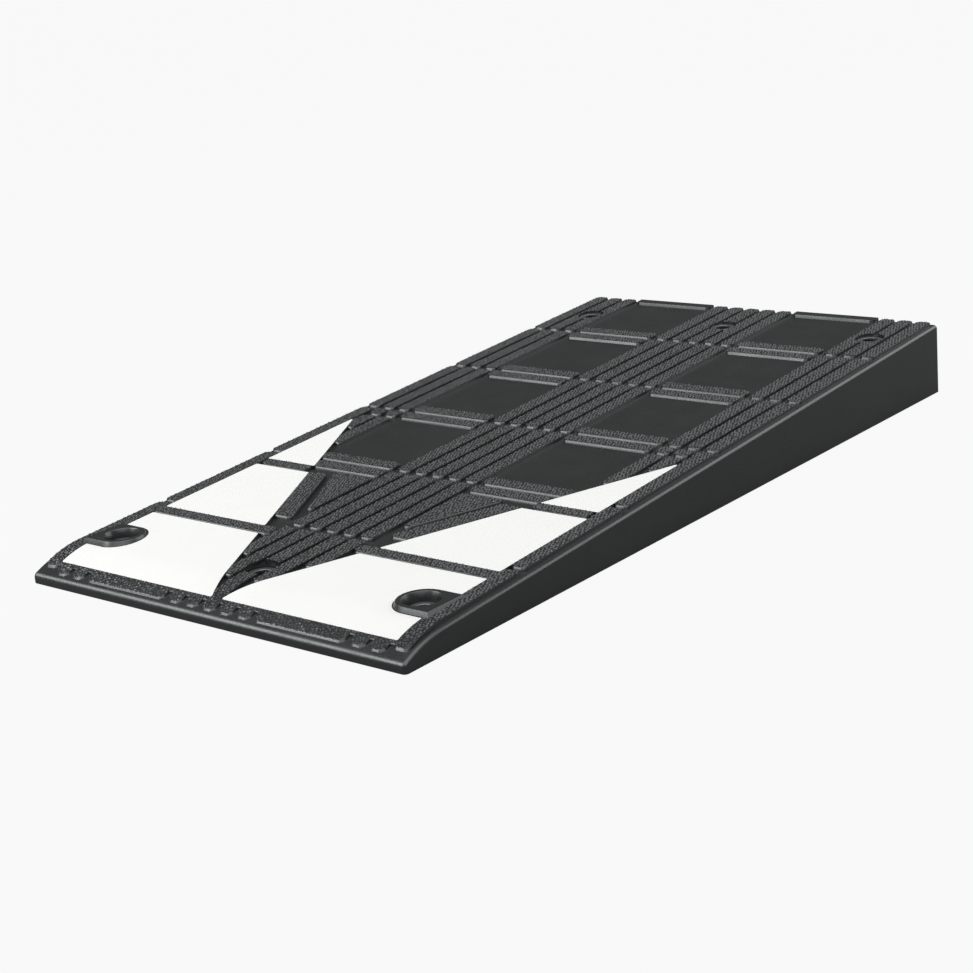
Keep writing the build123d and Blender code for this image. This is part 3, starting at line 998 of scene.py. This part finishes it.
class BodyOperator(bpy.types.Operator):
    """Models the rubber wedge with its ribs, marking seats, bosses and fixing holes"""

    bl_idname = "kerb_ramp.body"
    bl_label = "Rubber body"

    def execute(self, context):
        settings = context.scene.kerb_ramp
        profile = SideProfile(settings)
        plan = TreadPlan(settings)
        helpers = {
            "Ribs": self.ribs(settings, plan, profile),
            "Bars": self.bars(settings, plan, profile),
            "Plates": self.plates(settings, plan, profile),
            "Fields": field_cutters(settings, plan, profile),
            "Seats": self.seats(settings, plan, profile),
            "Bosses": self.bosses(settings, plan, profile),
            "Cutters": self.cutters(settings, plan, profile),
        }
        material = get_material("moulded_rubber", moulded_rubber, settings.finishes)
        body = self.wedge(settings, plan, profile)
        run_tree(body, moulding_tree(), {**helpers, "Material": material}, "moulded_body")
        remove_objects(helpers.values())
        smooth_shading(body, SHARP_ANGLE)
        add_to_frame(body, "black_rubber", "ramp_body")
        return {"FINISHED"}

    def block_groups(self, outlines, tread, profile, top, share=1.0):
        """Each outline with the levels and side insets of a block that has a bevelled front edge."""
        draft = share * tread.front_draft
        ease = share * tread.front_ease
        shoulder = -share * tread.side_shoulder
        rounding = share * tread.side_round
        # The last ring but one lies between the walls and the top, so that the upper edges are rounded
        side_insets = [-tread.side_flare, shoulder, shoulder + rounding / 3, shoulder + rounding]
        groups = []
        for outline in outlines:
            front = min(point.y for point in outline)
            bevel_end = draft + share * profile.between(front, tread.front_run, tread.rear_run)
            levels = [(-tread.front_flare, -tread.foot_depth), (draft, top - share * tread.front_rise)]
            levels += [(bevel_end - ease / 2, top - ease / 2), (bevel_end + ease, top)]
            groups.append(([outline], levels, side_insets))
        return groups

    def wedge(self, settings, plan, profile):
        """The plain wedge with rounded top edges, longer than needed at the kerb face."""
        sizes = settings.profile
        x, y = plan.half_width, plan.half_length
        rear = plan.past_rear
        corners = [(-x, -y), (x, -y), (x, rear), (-x, rear)]
        outline = rounded_outline(corners, sizes.corner_round, steps=6)
        levels = [(sizes.foot_round, GROUND), (0.0, GROUND + sizes.foot_round)]
        levels += edge_levels(0.0, 0.0, sizes.edge_round, steps=6)
        bm = bmesh.new()
        add_rings(bm, outline, levels)
        profile.lay(bm, shrink=False)
        return mesh_object("wedge", bm)

    def ribs(self, settings, plan, profile):
        """Ribs, cleats, pads and arrow blocks up to the feet of their studs."""
        top = settings.tread.rib_height - settings.studs.height
        return blocks_object("ribs", self.block_groups(plan.ribs(), settings.tread, profile, top), profile)

    def bars(self, settings, plan, profile):
        """Rail, marking bars and rear bars, some of which run into the ribs a little below their tops."""
        tread = settings.tread
        top = tread.rib_height - settings.studs.height - 2 * SKIN
        groups = self.block_groups(plan.marking_bars(), tread, profile, top)
        groups += self.block_groups([plan.nosing_rail()], tread, profile, top, tread.rail_share)
        groups += self.block_groups(plan.rear_bars(), tread, profile, tread.rib_height - 2 * SKIN)
        return blocks_object("bars", groups, profile)

    def plates(self, settings, plan, profile):
        """Raised rubber under the marking fields, cut level later."""
        marking = settings.marking
        top = settings.tread.rib_height - marking.below_ribs + marking.rim_drop
        outlines = [[Vector(corner) for corner in plan.field(place)] for place in FIELD_PLACES]
        levels = [(0.0, -marking.thickness / 2), (0.0, top)]
        return blocks_object("plates", [(both_sides(outlines), levels, None)], profile)

    def seats(self, settings, plan, profile):
        """Cutters for the seats of the marking sheets."""
        marking = settings.marking
        floor = settings.tread.rib_height - marking.below_ribs - marking.thickness
        outlines = both_sides([plan.sheet(place, marking.clearance - marking.slit) for place in FIELD_PLACES])
        return blocks_object("seats", [(outlines, [(0.0, floor), (0.0, CUTTER_TOP)], None)], profile)

    def boss_top(self, settings, profile):
        """Height of the level top of the bosses."""
        rear = hole_centre("front_right").y + settings.fixing.boss_radius
        return profile.rib_top(rear) - settings.marking.below_ribs + settings.fixing.boss_proud

    def bosses(self, settings, plan, profile):
        """Level bosses of the front corner holes, with rounded walls."""
        fixing = settings.fixing
        top = self.boss_top(settings, profile)
        front = hole_centre("front_right").y - fixing.boss_radius
        foot = profile.rib_top(front) - settings.marking.below_ribs
        levels = [(-fixing.boss_flare, settings.profile.lip_height), (-fixing.boss_flare, foot)]
        levels += edge_levels(-fixing.boss_edge_round / 2, top, fixing.boss_edge_round)[1:]
        bm = bmesh.new()
        for outline in both_sides([plan.boss()]):
            add_rings(bm, outline, levels)
        return mesh_object("bosses", bm)

    def cutters(self, settings, plan, profile):
        """Stepped hole cutters and the cut along the kerb face."""
        fixing = settings.fixing
        sizes = settings.profile
        boss_top = self.boss_top(settings, profile)
        over = 2 * sizes.rear_height
        step = fixing.counterbore_radius - fixing.bore_radius
        bm = bmesh.new()
        for name in HOLE_NAMES:
            seat = WASHER_BOXES[name][0].z
            levels = [(step, -sizes.rear_height), (step, seat), (0.0, seat)]
            if name in ("front_left", "front_right"):
                mouth = -fixing.mouth_width - fixing.rim_round
                levels.append((0.0, boss_top - fixing.mouth_depth))
                levels.append((-fixing.mouth_width, boss_top - fixing.rim_round))
                levels += [(mouth, boss_top + SKIN), (mouth, over)]
            else:
                levels.append((0.0, over))
            outline = circle_outline(hole_centre(name), fixing.counterbore_radius, fixing.facets)
            add_rings(bm, outline, levels)
        add_kerb_cutter(bm, settings, plan)
        return mesh_object("cutters", bm)


class StudsOperator(bpy.types.Operator):
    """Sets the small pyramids of the knurled tread on the ribs, cleats, pads and bars"""

    bl_idname = "kerb_ramp.studs"
    bl_label = "Tread studs"

    def execute(self, context):
        settings = context.scene.kerb_ramp
        sizes = settings.studs
        profile = SideProfile(settings)
        plan = TreadPlan(settings)
        ribs = plan.ribs()
        middle = plan.rows[len(plan.rows) // 2] - settings.tread.row_gap / 2
        front = [outline for outline in ribs if outline[0].y < middle]
        rear = [outline for outline in ribs if outline[0].y > middle]
        crossing_front = [(plan.marking_bars(), 1.0), ([plan.nosing_rail()], settings.tread.rail_share)]
        halves = {"front": (front, crossing_front), "rear": (rear, [])}
        shared = {
            "Field": settings.profile.length + settings.profile.width,
            "Pitch": sizes.pitch,
            "Width": sizes.width,
            "Top width": sizes.top_width,
            "Height": sizes.height,
            "Turn": sizes.turn,
            "Scatter": sizes.scatter,
            "Wear": sizes.wear,
            "Lean": sizes.lean,
            "Sink": sizes.sink,
            "Fields": field_cutters(settings, plan, profile),
            "Cutters": self.cutters(settings, plan),
            "Material": get_material("moulded_rubber", moulded_rubber, settings.finishes),
        }
        tree = stud_tree()
        for name, (blocks, crossing) in halves.items():
            outlines = sum([group for group, share in crossing], blocks)
            studs = self.stud_areas(outlines, settings, profile)
            tops = self.trimmers("block_tops", [(blocks, 1.0)], settings, profile)
            bar_tops = self.trimmers("bar_tops", crossing, settings, profile)
            run_tree(studs, tree, {**shared, "Ribs": tops, "Bars": bar_tops}, f"tread_studs_{name}")
            remove_objects([tops, bar_tops])
            add_to_frame(studs, "black_rubber")
        remove_objects([shared["Fields"], shared["Cutters"]])
        return {"FINISHED"}

    def stud_areas(self, outlines, settings, profile):
        """Flat areas over the tops of the blocks, as wide as the studs that reach a block with a corner."""
        top = settings.tread.rib_height - settings.studs.height
        reach = settings.studs.width / math.sqrt(2) + settings.studs.side_reach
        bm = bmesh.new()
        for outline in outlines:
            bm.faces.new([bm.verts.new((*point, top)) for point in inset_outline(outline, -reach)])
        profile.lay(bm)
        return mesh_object("stud_areas", bm)

    def trimmers(self, name, groups, settings, profile):
        """Upright blocks, a little narrower than the tread blocks, in which the studs are kept."""
        sizes = settings.studs
        top = settings.tread.rib_height
        shapes = []
        for outlines, share in groups:
            inset = share * sizes.front_margin
            levels = [(inset, top - 2 * sizes.height), (inset, top + sizes.height)]
            shapes.append((outlines, levels, [-share * sizes.side_reach] * 2))
        return blocks_object(name, shapes, profile)

    def cutters(self, settings, plan):
        """Cylinders that clear the holes, and the cut along the kerb face."""
        fixing = settings.fixing
        tall = 2 * settings.profile.rear_height
        bm = bmesh.new()
        radius = fixing.counterbore_radius + settings.studs.hole_margin
        for name in HOLE_NAMES:
            add_rings(bm, circle_outline(hole_centre(name), radius, fixing.facets), [(0.0, 0.0), (0.0, tall)])
        add_kerb_cutter(bm, settings, plan, settings.studs.hole_margin)
        return mesh_object("stud_cutters", bm)


class MarkingsOperator(bpy.types.Operator):
    """Models the six white marking sheets"""

    bl_idname = "kerb_ramp.markings"
    bl_label = "White markings"

    def execute(self, context):
        settings = context.scene.kerb_ramp
        profile = SideProfile(settings)
        plan = TreadPlan(settings)
        material = get_material("matte_white", matte_white, settings.finishes)
        for place in FIELD_PLACES:
            outline = plan.sheet(place, settings.marking.clearance)
            for side, drawn in (("right", outline), ("left", mirrored_outline(outline))):
                sheet = self.sheet(f"marking_sheet_{place}_{side}", drawn, settings, profile)
                sheet.data.materials.append(material)
                smooth_shading(sheet, SHARP_ANGLE)
                add_to_frame(sheet, "white_marking", f"marking_{place}_{side}")
        return {"FINISHED"}

    def sheet(self, name, outline, settings, profile):
        """A sheet with rounded upper edges, bent over the nose."""
        top = settings.tread.rib_height - settings.marking.below_ribs
        floor = top - settings.marking.thickness + SKIN
        levels = [(0.0, floor)] + edge_levels(0.0, top, settings.marking.edge_round)
        return blocks_object(name, [([outline], levels, None)], profile)


class WashersOperator(bpy.types.Operator):
    """Models the flat washers on the seats of the fixing holes"""

    bl_idname = "kerb_ramp.washers"
    bl_label = "Washers"

    def execute(self, context):
        settings = context.scene.kerb_ramp
        fixing = settings.fixing
        material = get_material("zinc_steel", zinc_steel, settings.finishes)
        for name, (low, high) in WASHER_BOXES.items():
            outer = (high.x - low.x) / 2
            wall = outer - fixing.bore_radius
            bevel = fixing.washer_chamfer
            levels = [(bevel, low.z), (0.0, low.z + bevel), (0.0, high.z - bevel), (bevel, high.z)]
            levels += [(wall - inset, height) for inset, height in reversed(levels)]
            bm = bmesh.new()
            add_rings(bm, circle_outline(hole_centre(name), outer, fixing.facets), levels, hollow=True)
            washer = mesh_object(f"steel_washer_{name}", bm)
            washer.data.materials.append(material)
            smooth_shading(washer, WASHER_ANGLE)
            add_to_frame(washer, "washer_steel", f"washer_{name}")
        return {"FINISHED"}


def direction(turn, rise):
    """A unit vector that is turned from the front lip towards +X and raised above the road."""
    return Vector((math.sin(turn) * math.cos(rise), -math.cos(turn) * math.cos(rise), math.sin(rise)))


class StageOperator(bpy.types.Operator):
    """Sets up the floor, the lamps, the world and the camera"""

    bl_idname = "kerb_ramp.stage"
    bl_label = "Stage"

    def execute(self, context):
        scene = context.scene
        stage = scene.kerb_ramp.stage
        scene.view_settings.view_transform = "Standard"
        scene.camera = self.camera(stage)
        scene.world = self.world(stage)
        self.floor(stage)
        self.softbox("key_softbox", place=(-1.5, -1.72, 1.25), size=(1.7, 0.8), power=23.5)
        self.softbox("back_softbox", place=(1.2, 2.0, 1.3), size=(2.4, 1.8), power=24.0)
        return {"FINISHED"}

    def camera(self, stage):
        """Camera at the photograph's viewing angle."""
        right = Vector((math.cos(stage.azimuth), math.sin(stage.azimuth), 0.0))
        back = direction(stage.azimuth, stage.elevation)
        up = back.cross(right)
        across = math.cos(stage.roll) * right + math.sin(stage.roll) * up
        upward = math.cos(stage.roll) * up - math.sin(stage.roll) * right
        place = back * stage.camera_distance - across * stage.camera_left - upward * stage.camera_down
        data = bpy.data.cameras.new("camera")
        data.lens = stage.lens
        camera = bpy.data.objects.new("camera", data)
        turned = Matrix((across, upward, back)).transposed()
        camera.matrix_world = Matrix.Translation(place) @ turned.to_4x4()
        bpy.context.scene.collection.objects.link(camera)
        return camera

    def world(self, stage):
        """Dome of soft light above the camera's side, and a white background."""
        world = bpy.data.worlds.new("studio")
        world.use_nodes = True
        builder = NodeBuilder(world.node_tree)
        rays = builder.node("ShaderNodeLightPath")
        toward = builder.node("ShaderNodeTexCoord")["Generated"]
        middle = direction(stage.azimuth, stage.dome_rise)
        product = builder.node("ShaderNodeVectorMath", {0: toward, 1: middle}, operation="DOT_PRODUCT")
        shoulder = spread(builder, product["Value"], math.cos(stage.dome_edge), math.cos(stage.dome_core))
        strength = stage.horizon + shoulder * (stage.dome - stage.horizon)
        even = builder.node("ShaderNodeBackground", {"Color": (1, 1, 1, 1), "Strength": strength})
        white = builder.node("ShaderNodeBackground", {"Color": (1, 1, 1, 1), "Strength": 1.0})
        seen = builder.node("ShaderNodeMixShader", {0: rays["Is Camera Ray"], 1: even, 2: white})
        builder.node("ShaderNodeOutputWorld", {"Surface": seen})
        return world

    def floor(self, stage):
        """Wide pale floor that looks nearly white and keeps a soft shadow."""
        bm = bmesh.new()
        corners = ((-1, -1), (1, -1), (1, 1), (-1, 1))
        bm.faces.new([bm.verts.new((x * FLOOR_REACH, y * FLOOR_REACH, -SKIN)) for x, y in corners])
        floor = mesh_object("floor", bm)
        material, builder = new_material("pale_floor")
        rays = builder.node("ShaderNodeLightPath")
        plain = builder.node("ShaderNodeBsdfDiffuse", {"Color": (*stage.floor, 1.0)})
        white = builder.node("ShaderNodeEmission", {"Color": (1, 1, 1, 1), "Strength": 1.0})
        share = rays["Is Camera Ray"] * stage.floor_glow
        shader = builder.node("ShaderNodeMixShader", {0: share, 1: plain, 2: white})
        builder.node("ShaderNodeOutputMaterial", {"Surface": shader})
        floor.data.materials.append(material)
        return floor

    def softbox(self, name, place, size, power):
        """A soft lamp that faces the middle of the ramp."""
        data = bpy.data.lights.new(name, "AREA")
        data.shape = "RECTANGLE"
        data.size, data.size_y = size
        data.energy = power
        lamp = bpy.data.objects.new(name, data)
        lamp.location = place
        lamp.rotation_euler = Vector(place).to_track_quat("Z", "Y").to_euler()
        bpy.context.scene.collection.objects.link(lamp)
        return lamp


class KerbRampPanel(bpy.types.Panel):
    """Lists the steps that make the ramp"""

    bl_idname = "VIEW3D_PT_kerb_ramp"
    bl_label = "Kerb ramp"
    bl_space_type = "VIEW_3D"
    bl_region_type = "UI"
    bl_category = "Kerb ramp"

    def draw(self, context):
        for operator in OPERATORS:
            self.layout.operator(operator.bl_idname)


SIZES = (ProfileSizes, TreadSizes, MarkingSizes, FixingSizes, StudSizes)
SETTINGS = SIZES + (Finishes, StageSettings, KerbRampSettings)
OPERATORS = (BodyOperator, StudsOperator, MarkingsOperator, WashersOperator, StageOperator)
CLASSES = SETTINGS + OPERATORS + (KerbRampPanel,)


def register():
    for cls in CLASSES:
        bpy.utils.register_class(cls)
    bpy.types.Scene.kerb_ramp = PointerProperty(type=KerbRampSettings)


def unregister():
    del bpy.types.Scene.kerb_ramp
    for cls in reversed(CLASSES):
        bpy.utils.unregister_class(cls)


def main():
    register()
    bpy.ops.kerb_ramp.body()
    bpy.ops.kerb_ramp.studs()
    bpy.ops.kerb_ramp.markings()
    bpy.ops.kerb_ramp.washers()
    bpy.ops.kerb_ramp.stage()


if __name__ == "__main__":
    main()
